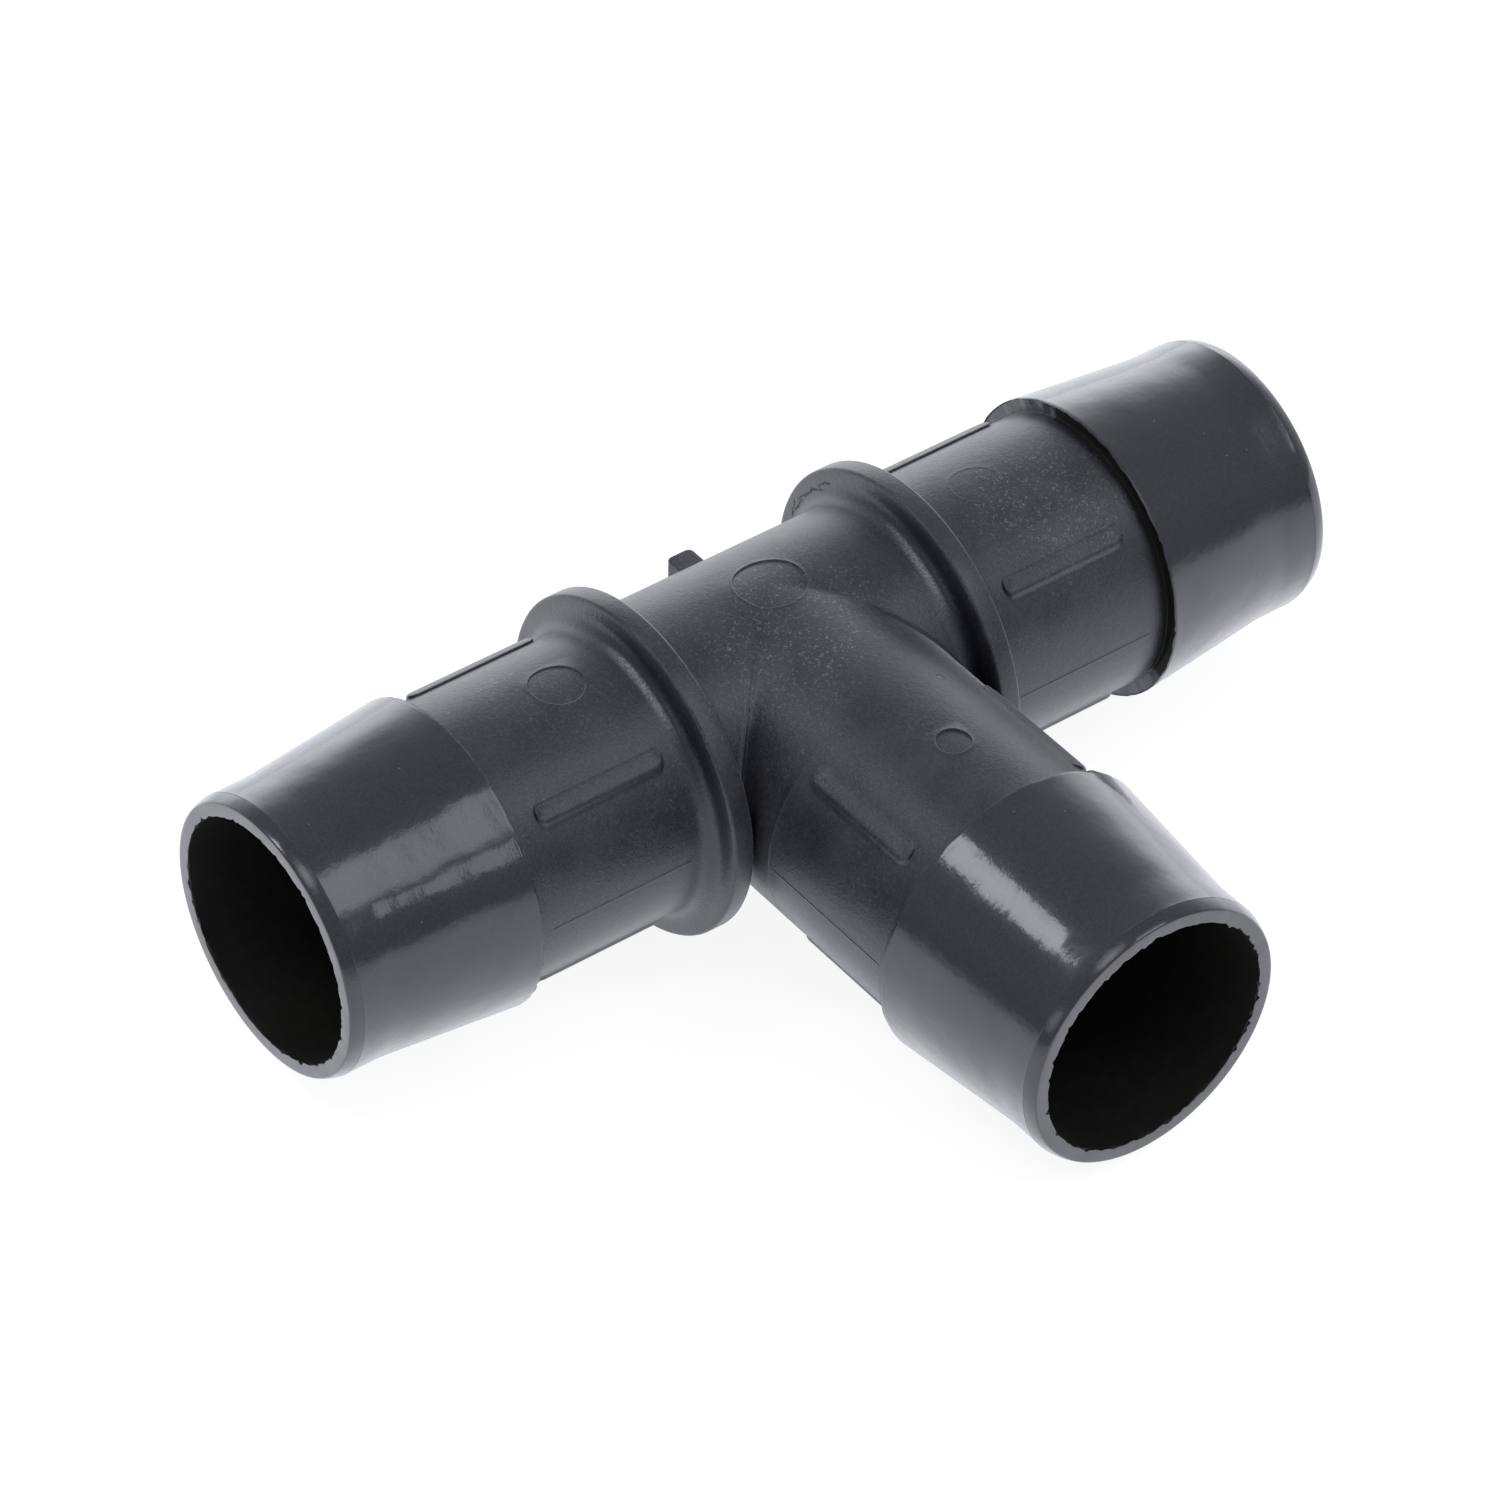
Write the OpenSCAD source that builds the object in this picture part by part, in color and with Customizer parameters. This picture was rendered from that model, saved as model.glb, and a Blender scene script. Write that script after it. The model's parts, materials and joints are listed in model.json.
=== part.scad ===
// Equal hose tee, moulded in one piece: three barbed arms of one size on a straight run and a branch.
// The axes cross at the origin. The run lies along X, the branch points to -Y, and the mould parts at z = 0.

/* [Passages] */
// Bore of all three arms
bore_d = 21.4; // [17:0.1:26]
// Wall of the plain sleeves
wall = 1.65; // [1.3:0.05:2.6]

/* [Arms] */
// Crossing of the axes to the end of each arm
arm_l = 50; // [47:0.5:80]
// Barb's square shoulder to the end of the arm
barb_l = 17.5; // [13:0.5:19]
// Height of the barb's edge above the sleeve
barb_rise = 1.2; // [0.6:0.05:2.4]
// Straight nose from the foot of the barb's taper to the end
nose_l = 4.7; // [2.5:0.1:8]
// Wall of the nose
nose_wall = 1.6; // [1.2:0.05:2.2]
// Rounding of the nose's outer edge
lip_r = 0.8; // [0.2:0.05:1.1]

/* [Collars] */
// Height of the collar above the sleeve
collar_rise = 2.75; // [2.1:0.05:5]
// Width of the collar at its rim
collar_w = 1.95; // [1.2:0.05:5]
// Gap between the branch's side and the collar's rim, along the run
collar_gap = 0.4; // [0.2:0.05:4]
// Draft of the collar's two flanks, in degrees
collar_draft = 5; // [1:0.5:10]
// Fillet at the foot of each flank
collar_fillet = 1.5; // [0.4:0.1:1.7]
// Rounding of the rim's edges
rim_r = 0.3; // [0.1:0.05:0.35]

/* [Ribs] */
// Height of the ribs above the sleeve
rib_rise = 0.5; // [0.2:0.05:1]
// Width of a rib, seen from above
rib_w = 1.43; // [0.8:0.05:3]
// Plain sleeve between the collar's fillet and the ribs
rib_inner_gap = 1.2; // [0.4:0.1:4]
// Plain sleeve between the ribs and the barb's shoulder
rib_outer_gap = 2.7; // [0.4:0.1:6]
// Place of the ribs around the sleeve, in degrees above and below the parting plane
rib_angle = 45; // [35:1:55]

/* [Gate pad] */
// Width of the pad on the back of the body
pad_w = 2.5; // [1.5:0.1:5]
// Height of the pad's flat top above the parting plane
pad_top = 7; // [4:0.1:8.5]
// Rounding of the pad's upright edges
pad_r = 0.5; // [0.2:0.05:0.7]

/* [Ejector marks] */
// Diameter of the marks on the two run sleeves
run_mark_d = 4.5; // [2:0.1:7]
// Diameter of the mark on the branch
branch_mark_d = 2.9; // [2:0.1:7]
// Diameter of the mark over the crossing
centre_mark_d = 5.8; // [3:0.1:9]
// Crossing of the axes to the marks on the run sleeves
run_mark_x = 21.4; // [20:0.1:26]
// Crossing of the axes to the mark on the branch
branch_mark_y = 24; // [20:0.1:26]
// Depth of the marks below the surface
mark_depth = 0.1; // [0.05:0.01:0.3]

/* [Hidden] */
$fn = 128;

// The body stands this much proud of the branch, and the run's bore is this much wider than the branch's
cross_step = 0.05;
// Points along each small rounding
arc_steps = 8;
// Length by which cuts run past the surface
overcut = 2;

bore_r = bore_d / 2;
branch_bore_r = bore_r - cross_step;
sleeve_r = bore_r + wall;
body_r = sleeve_r + cross_step;
barb_r = sleeve_r + barb_rise;
nose_r = bore_r + nose_wall;
shoulder_z = arm_l - barb_l;
nose_z = arm_l - nose_l;

collar_r = sleeve_r + collar_rise;
rim_inner = sleeve_r + collar_gap;
collar_z = rim_inner + collar_w / 2;
flank_foot = collar_w / 2 + collar_rise * tan(collar_draft);
fillet_z = flank_foot + collar_fillet * (1 / cos(collar_draft) - tan(collar_draft));
rim_z = collar_w / 2 + rim_r * tan(collar_draft) - rim_r / cos(collar_draft);

rib_r = sleeve_r + rib_rise;
rib_y = sleeve_r * cos(rib_angle);
rib_start = collar_z + fillet_z + rib_inner_gap;
rib_end = shoulder_z - rib_outer_gap;

// Points of an arc about centre c, from angle a to angle b
function arc(c, r, a, b) = [
    for (i = [0 : arc_steps])
        let (t = a + (b - a) * i / arc_steps)
            c + r * [cos(t), sin(t)]
];

// Half of the collar's section as [radius, offset from its middle], from the sleeve up to the rim
half_collar = concat(
    [[bore_r, fillet_z]],
    arc([sleeve_r + collar_fillet, fillet_z], collar_fillet, 180, 270 - collar_draft),
    arc([collar_r - rim_r, rim_z], rim_r, 90 - collar_draft, 0)
);

// The same half turned over and read backwards, for the collar's other flank
other_half = [for (i = [len(half_collar) - 1 : -1 : 0]) [half_collar[i][0], -half_collar[i][1]]];

// Turns its children from +Z onto the right arm, the left arm or the branch
module on_right() rotate([0, 90, 0]) children();
module on_left() rotate([0, -90, 0]) children();
module on_branch() rotate([90, 0, 0]) children();

// Sleeve, barb and nose of one arm, solid, along +Z
module arm() {
    rotate_extrude()
        polygon(concat(
            [[0, 0], [sleeve_r, 0], [sleeve_r, shoulder_z], [barb_r, shoulder_z], [nose_r, nose_z]],
            arc([nose_r - lip_r, arm_l - lip_r], lip_r, 0, 90),
            [[0, arm_l]]
        ));
}

// Filleted collar of a run arm, along +Z
module collar() {
    translate([0, 0, collar_z])
        rotate_extrude()
            polygon(concat(half_collar, other_half));
}

// Four low ribs of one arm, along +Z: upright bars trimmed to a cylinder, so their long walls stay upright.
// The bars stand along the mould's opening direction, which is the arm's own X on the run and Y on the branch.
module ribs(upright) {
    intersection() {
        translate([0, 0, rib_start - overcut])
            cylinder(r = rib_r, h = rib_end - rib_start + 2 * overcut);
        rotate([0, 0, upright])
            for (side = [-1, 1])
                translate([0, side * rib_y, 0])
                    rib_bar();
    }
}

// One bar with round ends, standing through the arm along X
module rib_bar() {
    rotate([0, 90, 0])
        linear_extrude(2 * (rib_r + overcut), center = true)
            translate([-rib_end, -rib_w / 2])
                rib_outline();
}

// Outline of a bar, seen along the mould's opening direction
module rib_outline() {
    straight = rib_end - rib_start - rib_w;
    translate([rib_w / 2, 0])
        square([straight, rib_w]);
    for (end = [0, 1])
        translate([rib_w / 2 + end * straight, rib_w / 2])
            circle(d = rib_w);
}

// Flat-topped pad at the back of the body, rising from the parting plane
module gate_pad() {
    linear_extrude(pad_top) {
        translate([-pad_w / 2, 0])
            square([pad_w, sleeve_r - pad_r]);
        translate([pad_r - pad_w / 2, 0])
            square([pad_w - 2 * pad_r, sleeve_r]);
        for (side = [-1, 1])
            translate([side * (pad_w / 2 - pad_r), sleeve_r - pad_r])
                circle(r = pad_r);
    }
}

// Shallow round mark in the top of whatever cylinders its children stand for
module top_mark(d) {
    difference() {
        cylinder(d = d, h = body_r + overcut);
        children();
    }
}

// What lies below the marks: the plain cylinders, sunk by the marks' depth
module mark_floor(r) {
    translate([0, 0, -arm_l])
        cylinder(r = r - mark_depth, h = 2 * arm_l);
}

// The whole fitting, one moulding
module tee() {
    color([0.09, 0.09, 0.095])
        difference() {
            union() {
                translate([-collar_z, 0, 0])
                    on_right()
                        cylinder(r = body_r, h = 2 * collar_z);
                on_right() {
                    arm();
                    collar();
                    ribs(0);
                }
                on_left() {
                    arm();
                    collar();
                    ribs(0);
                }
                on_branch() {
                    arm();
                    ribs(90);
                }
                gate_pad();
            }
            translate([-arm_l - overcut, 0, 0])
                on_right()
                    cylinder(r = bore_r, h = 2 * (arm_l + overcut));
            on_branch()
                cylinder(r = branch_bore_r, h = arm_l + overcut);
            for (side = [-1, 1])
                translate([side * run_mark_x, 0, 0])
                    top_mark(run_mark_d)
                        on_right()
                            mark_floor(sleeve_r);
            translate([0, -branch_mark_y, 0])
                top_mark(branch_mark_d)
                    on_branch()
                        mark_floor(sleeve_r);
            top_mark(centre_mark_d) {
                on_right()
                    mark_floor(body_r);
                on_branch()
                    translate([0, 0, arm_l])
                        mark_floor(sleeve_r);
            }
        }
}

tee();
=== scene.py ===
"""Looks for a moulded hose tee: one closed mesh, its plastics, a pale floor and soft light."""

import json
import math

import bmesh
import bpy
import numpy as np
from mathutils import Matrix, Vector

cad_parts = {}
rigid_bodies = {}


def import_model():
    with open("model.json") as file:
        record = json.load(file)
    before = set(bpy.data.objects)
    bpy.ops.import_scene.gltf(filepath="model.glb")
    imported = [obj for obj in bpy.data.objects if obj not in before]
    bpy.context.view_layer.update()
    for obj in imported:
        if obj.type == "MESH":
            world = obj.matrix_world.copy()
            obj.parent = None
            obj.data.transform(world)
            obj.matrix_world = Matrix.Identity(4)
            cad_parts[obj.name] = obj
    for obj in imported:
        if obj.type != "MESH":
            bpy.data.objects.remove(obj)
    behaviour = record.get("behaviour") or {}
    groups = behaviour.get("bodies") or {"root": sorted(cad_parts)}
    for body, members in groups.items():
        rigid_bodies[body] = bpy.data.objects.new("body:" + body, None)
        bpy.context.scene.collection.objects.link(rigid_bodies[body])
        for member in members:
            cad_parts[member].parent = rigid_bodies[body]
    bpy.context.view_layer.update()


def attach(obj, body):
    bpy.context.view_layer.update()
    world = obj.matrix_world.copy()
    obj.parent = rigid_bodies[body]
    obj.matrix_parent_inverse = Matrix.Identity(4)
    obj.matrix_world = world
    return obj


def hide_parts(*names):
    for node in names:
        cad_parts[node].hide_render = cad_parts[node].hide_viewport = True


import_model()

MM = 0.001

# Sizes of the fitting in millimetres, as in the CAD source
ARM_L = 50.0
BORE_R = 10.7
SLEEVE_R = 12.35
BARB_R = 13.55
NOSE_R = 12.3
SHOULDER_S = 32.5
NOSE_S = 45.3
COLLAR_R = 15.1
COLLAR_S = 13.725
COLLAR_HALF_W = 0.975
COLLAR_FILLET = 1.5
COLLAR_DRAFT = math.radians(5.0)
RIM_R = 0.3
SEAM_S = 16.3
RIB_HALF_W = 0.715
RIB_W_AT = SLEEVE_R * math.cos(math.radians(45.0))
RIB_START = 17.53
RIB_END = 29.8
PAD_HALF_W = 1.25
PAD_TOP = 7.0
PAD_FAR = 12.3
PAD_CORNER = 0.5

# Mark over the crossing
CENTRE_MARK_R = 3.05
CENTRE_MARK_DEPTH = 0.09

# Fine forms that the source leaves out, and rows of points by their place along the arm or by their radius
SEAM_LIFT = 0.02
FACE_FOOT_R = (12.41, 12.44)
CUT_FACE_R = (12.5, 13.42)
BARB_ROWS = (32.8, 33.3, 34.1, 35.1, 36.2, 37.4, 38.6, 39.8, 41.0, 42.2, 43.3, 44.2, 44.8)
NOSE_ROWS = (45.5, 46.2, 47.1, 48.0, 48.55)
# Fine line before the lip's band: places along the arm and heights over the nose
LIP_LINE = ((48.75, 0.01), (48.83, 0.014), (48.86, -0.015))
# The band's curvature in section, and its tilt against the axis where it starts and ends, in degrees
LIP_BAND_R = 3.82
LIP_BAND_TILT = (10.0, 26.0)
LIP_CORNER_R = 0.2
END_FACE_R = (11.5, 11.25, 10.85)
BORE_ROWS = (49.8, 49.5, 49.0, 48.0, 46.0, 43.0, 39.0, 34.0, 28.0, 22.0, 17.0, 13.5)

# Spacing of the mesh
STEP_DEG = 1.875
FINE_DEG = (0.3, 0.9)
CROSS_DEG = 71.25
CROSS_S = SLEEVE_R * math.cos(math.radians(CROSS_DEG))
BRIDGE_STEPS = 20
BLEND_ROWS = 4
BLEND_MM = 0.5
SLEEVE_PATCH_S = 17.1
SLEEVE_STEP = 0.595
SLEEVE_STEPS = 22

# INSIDE, the bores' dark material, also serves as painted shade in the shoulder's cut
MATTE, GLOSS, INSIDE = 0, 1, 2
UP = np.array([0.0, 0.0, 1.0])


def column_angles():
    """Angles of the mesh's columns: even steps, with finer ones beside the two parting lines."""
    even = np.arange(0.0, 360.0, STEP_DEG)
    fine = [mid + side * f for mid in (0.0, 180.0) for side in (-1, 1) for f in FINE_DEG]
    return np.sort(np.concatenate([even, np.mod(fine, 360.0)]))


ANGLES = column_angles()
COLS = len(ANGLES)
PHI = np.radians(ANGLES)


def col(angle):
    """Index of the column at this angle."""
    return int(np.argmin(np.abs(ANGLES - angle % 360.0)))


# Part of the shoulder's face that is cut in behind the barb's edge and painted black as shade: its share of
# each column, 0 to 1
CUT_MIDDLE = 37.0
CUT_REACH = (58.0, 72.0)
CUT_DEPTH = 0.4
CUT_SHARE = np.interp(np.abs((ANGLES - CUT_MIDDLE + 180.0) % 360.0 - 180.0), CUT_REACH, (1.0, 0.0))


def ragged(seed, low, high, power=0.7):
    """Uneven closed curve around an arm, about -1 to 1, made of waves from low to high per turn."""
    rng = np.random.default_rng(seed)
    total = np.zeros(COLS)
    for k in range(low, high):
        total += rng.normal() * k ** -power * np.cos(k * PHI + rng.uniform(0, 2 * math.pi))
    return total / np.abs(total).max()


class Net:
    """Points in millimetres and the faces over them, each face with a material."""

    def __init__(self):
        self.points = np.zeros((0, 3))
        self.faces = []
        self.slots = []

    def add(self, points):
        points = np.asarray(points, float)
        first = len(self.points)
        self.points = np.vstack([self.points, points.reshape(-1, 3)])
        return np.arange(first, len(self.points)).reshape(points.shape[:-1])

    def face(self, ids, slot):
        self.faces.append(tuple(int(i) for i in ids))
        self.slots.append(slot)

    def strip(self, lower, upper, slot, closed=False):
        """Quads between two rows of points."""
        n = len(lower)
        for j in range(n if closed else n - 1):
            k = (j + 1) % n
            self.face((lower[j], lower[k], upper[k], upper[j]), slot)

    def sheet(self, ids, slot):
        for lower, upper in zip(ids[:-1], ids[1:]):
            self.strip(lower, upper, slot)


class Arm:
    """One arm: its axis, the direction of its columns at angle 0, and its rows of points.

    The marks are the rows where its parts start, and skip holds the faces that a shape has replaced.
    """

    def __init__(self, axis, front):
        self.axis = np.array(axis, float)
        self.front = np.array(front, float)
        self.ids = None
        self.marks = {}
        self.skip = None

    def place(self, s, r, phi):
        s, r, phi = np.broadcast_arrays(s, r, phi)
        return (
            s[..., None] * self.axis
            + (r * np.cos(phi))[..., None] * self.front
            + (r * np.sin(phi))[..., None] * UP
        )

    def on_plan(self, s, w, r, side):
        """Point above or below plan position s, w on a cylinder of radius r."""
        s, w, r = np.broadcast_arrays(s, w, r)
        z = side * np.sqrt(np.maximum(r * r - w * w, 0.0))
        return s[..., None] * self.axis + w[..., None] * self.front + z[..., None] * UP


RIGHT = Arm((1, 0, 0), (0, -1, 0))
LEFT = Arm((-1, 0, 0), (0, -1, 0))
BRANCH = Arm((0, -1, 0), (1, 0, 0))
ARMS = (RIGHT, LEFT, BRANCH)
net = Net()

# Section of a collar and its fillets, measured from the collar's middle
TAN_D = math.tan(COLLAR_DRAFT)
COS_D = math.cos(COLLAR_DRAFT)
FLANK_FOOT = COLLAR_HALF_W + (COLLAR_R - SLEEVE_R) * TAN_D
FILLET_Z = FLANK_FOOT + COLLAR_FILLET * (1 / COS_D - TAN_D)
RIM_Z = COLLAR_HALF_W + RIM_R * TAN_D - RIM_R / COS_D
FILLET_S = COLLAR_S - FILLET_Z
FILLET_TURN = math.pi / 2 - COLLAR_DRAFT


def inner_profile(t):
    """Section of the body up to the collar's inner flank, at length t: straight, then the fillet."""
    turn = np.clip((t - FILLET_S) / COLLAR_FILLET, 0.0, FILLET_TURN)
    s = np.minimum(t, FILLET_S) + COLLAR_FILLET * np.sin(turn)
    r = SLEEVE_R + COLLAR_FILLET * (1 - np.cos(turn))
    return s, r


def arc_rows(cs, cr, radius, start, stop, steps):
    """Rows of a rounding about centre (cs, cr), angles in degrees, without the first point."""
    turn = np.radians(np.linspace(start, stop, steps + 1))[1:]
    return [(cs + radius * math.cos(a), cr + radius * math.sin(a)) for a in turn]


def line_rows(end, steps, start):
    """Rows of a straight line from start to end, without the first point."""
    return [
        (start[0] + (end[0] - start[0]) * i / steps, start[1] + (end[1] - start[1]) * i / steps)
        for i in range(1, steps + 1)
    ]


def collar_rows():
    """Rows from the inner flank's foot over the rim to the sleeve outside the collar."""
    draft = math.degrees(COLLAR_DRAFT)
    start = inner_profile(FILLET_S + COLLAR_FILLET * FILLET_TURN)
    inner_rim = (COLLAR_S - RIM_Z, COLLAR_R - RIM_R)
    outer_rim = (COLLAR_S + RIM_Z, COLLAR_R - RIM_R)
    rim_start = (inner_rim[0] - RIM_R * COS_D, inner_rim[1] + RIM_R * math.sin(COLLAR_DRAFT))
    rows = line_rows(rim_start, 3, (float(start[0]), float(start[1])))
    rows += arc_rows(*inner_rim, RIM_R, 180 - draft, 90, 4)
    rows += line_rows((outer_rim[0], COLLAR_R), 2, rows[-1])
    rows += arc_rows(*outer_rim, RIM_R, 90, draft, 4)
    fillet_c = (COLLAR_S + FILLET_Z, SLEEVE_R + COLLAR_FILLET)
    foot = (fillet_c[0] - COLLAR_FILLET * COS_D, fillet_c[1] - COLLAR_FILLET * math.sin(COLLAR_DRAFT))
    rows += line_rows(foot, 3, rows[-1])
    rows += arc_rows(*fillet_c, COLLAR_FILLET, 180 + draft, 270, 8)
    return rows


def lip_rows():
    """Rows of the lip: a gently tilted band at the nose's end, then a tight corner into the end face."""
    first, last = np.radians(LIP_BAND_TILT)
    band = [(LIP_BAND_R, tilt) for tilt in np.linspace(first, last, 7)]
    corner = [(LIP_CORNER_R, tilt) for tilt in np.linspace(last, math.pi / 2, 6)[1:]]
    s, r = 0.0, NOSE_R
    rows = [(s, r)]
    for (_, before), (radius, tilt) in zip((band + corner)[:-1], (band + corner)[1:]):
        s += radius * (math.sin(tilt) - math.sin(before))
        r -= radius * (math.cos(before) - math.cos(tilt))
        rows.append((s, r))
    return [(ARM_L - rows[-1][0] + s, r) for s, r in rows]


def outer_rows(start):
    """Rows of the sleeve, barb, nose and lip, going outwards, and where each part starts."""
    rows = line_rows((SLEEVE_PATCH_S, SLEEVE_R), 2, start)
    marks = {"patch": len(rows) - 1}
    rows += [(SLEEVE_PATCH_S + SLEEVE_STEP * i, SLEEVE_R) for i in range(1, SLEEVE_STEPS + 1)]
    rows += line_rows((SHOULDER_S - 0.35, SLEEVE_R), 3, rows[-1])
    rows += [(SHOULDER_S - 0.03, SLEEVE_R + 0.005), (SHOULDER_S, SLEEVE_R + 0.03)]
    rows += [(SHOULDER_S, r) for r in FACE_FOOT_R]
    marks["cut"] = len(rows)
    rows += [(SHOULDER_S, r) for r in (*CUT_FACE_R, BARB_R - 0.06)]
    marks["flash"] = len(rows)
    rows += [(SHOULDER_S - 0.02, BARB_R - 0.03), (SHOULDER_S + 0.06, BARB_R)]
    marks["gloss"] = len(rows) - 1
    slope = (NOSE_R - BARB_R) / (NOSE_S - SHOULDER_S)
    rows += [(s, BARB_R + slope * (s - SHOULDER_S)) for s in BARB_ROWS]
    rows.append((NOSE_S - 0.15, NOSE_R + 0.03))
    rows += [(s, NOSE_R) for s in NOSE_ROWS]
    rows += [(s, NOSE_R + lift) for s, lift in LIP_LINE]
    rows += lip_rows()
    rows += [(ARM_L, r) for r in END_FACE_R]
    marks["mouth"] = len(rows)
    rows += [(ARM_L - 0.005, BORE_R + 0.03), (ARM_L - 0.07, BORE_R)]
    marks["bore"] = len(rows)
    return rows, marks


CREASE = [j for j in range(COLS) if math.cos(PHI[j]) > math.cos(math.radians(CROSS_DEG)) - 1e-6]
BACK = [j for j in range(COLS) if math.cos(PHI[j]) < -math.cos(math.radians(CROSS_DEG)) + 1e-6]


def crease_points():
    """Where the run meets the branch, for each column: y as a length, z, and the length along the run."""
    x = SLEEVE_R * np.abs(np.cos(PHI))
    z = SLEEVE_R * np.sin(PHI)
    turn = np.arcsin(np.clip((x - FILLET_S) / COLLAR_FILLET, 0.0, 1.0))
    run_r = SLEEVE_R + COLLAR_FILLET * (1 - np.cos(turn))
    y = np.sqrt(np.maximum(run_r ** 2 - z ** 2, 0.0))
    t = np.where(x > FILLET_S, FILLET_S + COLLAR_FILLET * turn, x)
    return y, z, t


CY, CZ, CT = crease_points()


def body_rows_of_run():
    """Rows of a run arm from the crossing to the collar's inner flank, one value for each column."""
    t_start = np.full(COLS, CROSS_S)
    t_start[CREASE] = CT[CREASE]
    phi_start = PHI.copy()
    phi_start[CREASE] = np.arctan2(CZ[CREASE], CY[CREASE])
    t_end = FILLET_S + COLLAR_FILLET * FILLET_TURN
    blend = np.minimum(BLEND_MM, 0.6 * (t_end - t_start))
    t_mid = np.maximum(FILLET_S, t_start + blend + 0.25 * (t_end - t_start - blend))
    rows = [t_start + blend * k / BLEND_ROWS for k in range(BLEND_ROWS + 1)]
    first = rows[-1]
    rows += [first + (t_mid - first) * q for q in np.linspace(0, 1, 9)[1:]]
    rows += [t_mid + (t_end - t_mid) * q for q in np.linspace(0, 1, 9)[1:]]
    phis = []
    for k in range(len(rows)):
        ease = min(1.0, k / (BLEND_ROWS + 4))
        phis.append(np.angle(np.exp(1j * (PHI + (1 - ease) * np.angle(np.exp(1j * (phi_start - PHI)))))))
    return rows, phis


def body_rows_of_branch():
    """Rows of the branch from the crossing to the seam, one value for each column."""
    s_start = np.full(COLS, CROSS_S)
    sides = np.abs(np.cos(PHI)) > math.cos(math.radians(CROSS_DEG)) - 1e-6
    s_start[sides] = CY[sides]
    rows = [s_start + BLEND_MM * k / BLEND_ROWS for k in range(BLEND_ROWS + 1)]
    first = rows[-1]
    rows += [first + (SEAM_S - 0.1 - first) * q for q in np.linspace(0, 1, 13)[1:]]
    return rows


def build_arm(arm, seed):
    """Adds one arm's outer rows, from the crossing to the mouth of its bore."""
    if arm is BRANCH:
        s_rows = body_rows_of_branch()
        points = [arm.place(s, np.full(COLS, SLEEVE_R), PHI) for s in s_rows]
        fixed = [(SEAM_S - 0.03, SLEEVE_R), (SEAM_S + 0.05, SLEEVE_R), (SEAM_S + 0.12, SLEEVE_R)]
    else:
        t_rows, phis = body_rows_of_run()
        points = []
        for t, phi in zip(t_rows, phis):
            s, r = inner_profile(t)
            points.append(arm.place(s, r, phi))
        fixed = collar_rows()
    body_count = len(points)
    more, marks = outer_rows(fixed[-1])
    arm.marks = {name: k + body_count + len(fixed) for name, k in marks.items()}
    rows = fixed + more
    s = np.array([row[0] for row in rows])[:, None] * np.ones(COLS)
    r = np.array([row[1] for row in rows])[:, None] * np.ones(COLS)
    roughen(arm, s, r, body_count, seed)
    if arm is BRANCH:
        r[:2] += SEAM_LIFT * np.clip(-2.5 * np.cos(PHI) - 1.2, 0, 1)
    points += list(arm.place(s, r, PHI))
    arm.ids = net.add(np.array(points))


def roughen(arm, s, r, offset, seed):
    """Makes the barb's edge, shoulder face and bore mouth uneven, and cuts in the part of the face that is
    painted black as shade.
    """
    flash = arm.marks["flash"] - offset
    fine = ragged(seed, 14, 96, 0.4)
    broad = ragged(seed + 1, 2, 9)
    s[flash] += -0.09 - 0.13 * fine - 0.05 * broad
    s[flash - 1] += -0.05 - 0.13 * fine - 0.05 * broad
    r[flash - 1] += 0.04 * ragged(seed + 2, 10, 90, 0.4)
    cut = arm.marks["cut"] - offset
    s[cut:cut + 2] += CUT_DEPTH * CUT_SHARE
    scratches = ragged(seed + 5, 30, 99, 0.1)
    s[cut - 1:cut + 3] -= 0.05 * scratches * (1 - CUT_SHARE)
    mouth = arm.marks["mouth"] - offset
    nicks = np.clip(ragged(seed + 3, 20, 99, 0.1) - 0.15, 0, 1)
    flags = np.clip(ragged(seed + 6, 12, 99, 0.2) - 0.3, 0, 1)
    waves = ragged(seed + 4, 3, 90, 0.3)
    uneven = 0.07 * waves + 0.42 * nicks - 0.24 * flags
    r[mouth] += uneven
    r[mouth + 1] += uneven
    s[mouth + 1] -= 0.2 * nicks
    r[mouth - 1] += 0.8 * uneven


for arm, seed in zip(ARMS, (11, 23, 37)):
    build_arm(arm, seed)

# The three arms share their first points along the creases
for j in CREASE:
    RIGHT.ids[0, j] = BRANCH.ids[0, j]
    LEFT.ids[0, j] = BRANCH.ids[0, col(180.0 - ANGLES[j])]


def blend_crease(run, branch_col):
    """Rounds the inside corner between a run arm and the branch, column by column."""
    for j in CREASE:
        k = branch_col(j)
        a = net.points[run.ids[BLEND_ROWS, j]]
        b = net.points[BRANCH.ids[BLEND_ROWS, k]]
        c = net.points[BRANCH.ids[0, k]]
        path = [run.ids[i, j] for i in range(BLEND_ROWS, 0, -1)]
        path += [BRANCH.ids[i, k] for i in range(BLEND_ROWS + 1)]
        for i, vertex in enumerate(path):
            t = i / (2 * BLEND_ROWS)
            net.points[vertex] = (1 - t) ** 2 * a + 2 * t * (1 - t) * c + t * t * b


blend_crease(RIGHT, lambda j: j)
blend_crease(LEFT, lambda j: col(180.0 - ANGLES[j]))

# The back of the body, between the two run arms
BRIDGE_X = np.linspace(CROSS_S, -CROSS_S, BRIDGE_STEPS + 1)
middle = [RIGHT.place(np.full(len(BACK), x), SLEEVE_R, PHI[BACK]) for x in BRIDGE_X[1:-1]]
bridge = np.vstack([RIGHT.ids[0, BACK], net.add(np.array(middle)), LEFT.ids[0, BACK]])


def smooth_max(a, b, k):
    """The larger of a and b, rounded over where they are within k."""
    gap = np.clip(1 - np.abs(a - b) / np.maximum(k, 1e-9), 0, 1)
    return np.maximum(a, b) + gap * gap * k / 4


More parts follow.
